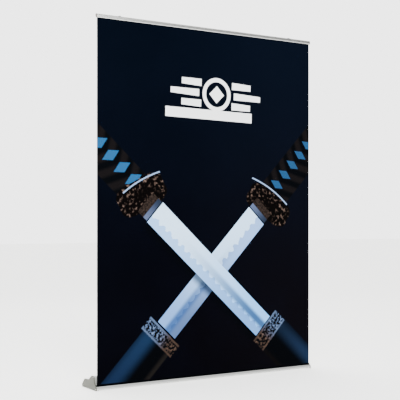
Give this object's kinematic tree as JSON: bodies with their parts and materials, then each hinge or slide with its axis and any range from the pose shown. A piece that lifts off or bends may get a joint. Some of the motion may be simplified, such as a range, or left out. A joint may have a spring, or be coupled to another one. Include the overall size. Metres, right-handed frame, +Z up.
{
  "type": "roll-up banner stand",
  "caption": "Wide roll-up banner stand: aluminium cassette with a spring roller, printed sheet, snap-open top rail and telescopic masts.",
  "frame": {"origin": "on the floor, under the middle of the outline", "axes": "+X to the right seen from the front, +Y towards the back, +Z up"},
  "size_m": [1.5196, 0.1894, 2.1109],
  "materials": {
    "anodised_aluminium": "satin anodised extrusion",
    "grey_plastic": "fine moulded grain",
    "dark_plastic": "smooth moulded",
    "zinc_steel": "bright zinc plate",
    "grey_rubber": "matt",
    "printed_film": "satin laminated print"
  },
  "bodies": {
    "base": {"cassette_body": "anodised_aluminium", "end_cap_left": "grey_plastic", "end_cap_right": "grey_plastic", "banner_guide": "dark_plastic", "idler_pin": "zinc_steel", "spring_mandrel": "zinc_steel", "mandrel_collar": "zinc_steel", "torsion_spring": "zinc_steel", "banner_sheet": "printed_film", "end_cap_screw_left_top": "zinc_steel", "end_cap_screw_left_front": "zinc_steel", "end_cap_screw_left_rear": "zinc_steel", "end_cap_screw_right_top": "zinc_steel", "end_cap_screw_right_front": "zinc_steel", "end_cap_screw_right_rear": "zinc_steel", "foot_front_left": "grey_rubber", "foot_front_right": "grey_rubber", "foot_rear_left": "grey_rubber", "foot_rear_right": "grey_rubber", "pole_socket_left": "dark_plastic", "socket_screw_left_outer": "zinc_steel", "socket_screw_left_inner": "zinc_steel", "pole_lower_left": "anodised_aluminium", "pole_foot_left": "dark_plastic", "pole_socket_right": "dark_plastic", "socket_screw_right_outer": "zinc_steel", "socket_screw_right_inner": "zinc_steel", "pole_lower_right": "anodised_aluminium", "pole_foot_right": "dark_plastic"},
    "roller": {"roller_tube": "anodised_aluminium", "banner_roll": "printed_film", "roller_plug_left": "dark_plastic", "roller_plug_right": "dark_plastic", "spring_anchor": "dark_plastic"},
    "rail": {"rail_back": "anodised_aluminium", "rail_end_left": "grey_plastic", "rail_end_right": "grey_plastic"},
    "jaw": {"rail_jaw": "anodised_aluminium"},
    "mast_middle_left": {"pole_middle_left": "anodised_aluminium", "glide_middle_left": "dark_plastic"},
    "mast_upper_left": {"pole_upper_left": "anodised_aluminium", "glide_upper_left": "dark_plastic", "hook_cap_left": "dark_plastic"},
    "lock_lower_left": {"lock_lower_left": "dark_plastic"},
    "lock_upper_left": {"lock_upper_left": "dark_plastic"},
    "mast_middle_right": {"pole_middle_right": "anodised_aluminium", "glide_middle_right": "dark_plastic"},
    "mast_upper_right": {"pole_upper_right": "anodised_aluminium", "glide_upper_right": "dark_plastic", "hook_cap_right": "dark_plastic"},
    "lock_lower_right": {"lock_lower_right": "dark_plastic"},
    "lock_upper_right": {"lock_upper_right": "dark_plastic"}
  },
  "joints": [
    {"name": "height_adjust", "type": "slide", "parent": "base", "child": "rail", "axis": [0, 0.048, -0.9988], "range_m": [0, 1.2], "deforming": ["banner_sheet"]},
    {"name": "roller_spin", "type": "hinge", "parent": "base", "child": "roller", "pos_m": [0, -0.03573, 0.044], "axis": [1, 0, 0], "range_deg": [0, 3700]},
    {"name": "jaw_opening", "type": "hinge", "parent": "rail", "child": "jaw", "pos_m": [0, -0.08553, 2.1006], "axis": [-1, 0, 0], "range_deg": [0, 60]},
    {"name": "mast_middle_left_slide", "type": "slide", "parent": "base", "child": "mast_middle_left", "axis": [0, 0.048, -0.9988], "range_m": [0, 0.6]},
    {"name": "mast_upper_left_slide", "type": "slide", "parent": "base", "child": "mast_upper_left", "axis": [0, 0.048, -0.9988], "range_m": [0, 1.2]},
    {"name": "lock_lower_left_twist", "type": "hinge", "parent": "base", "child": "lock_lower_left", "pos_m": [-0.6, 0.03367, 0.0101], "axis": [0, -0.048, 0.9988], "range_deg": [0, 60]},
    {"name": "lock_upper_left_twist", "type": "hinge", "parent": "mast_middle_left", "child": "lock_upper_left", "pos_m": [-0.6, 0.03367, 0.0101], "axis": [0, -0.048, 0.9988], "range_deg": [0, 60]},
    {"name": "mast_middle_right_slide", "type": "slide", "parent": "base", "child": "mast_middle_right", "axis": [0, 0.048, -0.9988], "range_m": [0, 0.6]},
    {"name": "mast_upper_right_slide", "type": "slide", "parent": "base", "child": "mast_upper_right", "axis": [0, 0.048, -0.9988], "range_m": [0, 1.2]},
    {"name": "lock_lower_right_twist", "type": "hinge", "parent": "base", "child": "lock_lower_right", "pos_m": [0.6, 0.03367, 0.0101], "axis": [0, -0.048, 0.9988], "range_deg": [0, 60]},
    {"name": "lock_upper_right_twist", "type": "hinge", "parent": "mast_middle_right", "child": "lock_upper_right", "pos_m": [0.6, 0.03367, 0.0101], "axis": [0, -0.048, 0.9988], "range_deg": [0, 60]}
  ],
  "couplings": [
    {"joint": "roller_spin", "follows": "height_adjust", "rad_per_m": 52.6},
    {"joint": "mast_middle_left_slide", "follows": "height_adjust", "ratio": 0.5},
    {"joint": "mast_upper_left_slide", "follows": "height_adjust", "ratio": 1},
    {"joint": "mast_middle_right_slide", "follows": "height_adjust", "ratio": 0.5},
    {"joint": "mast_upper_right_slide", "follows": "height_adjust", "ratio": 1}
  ]
}
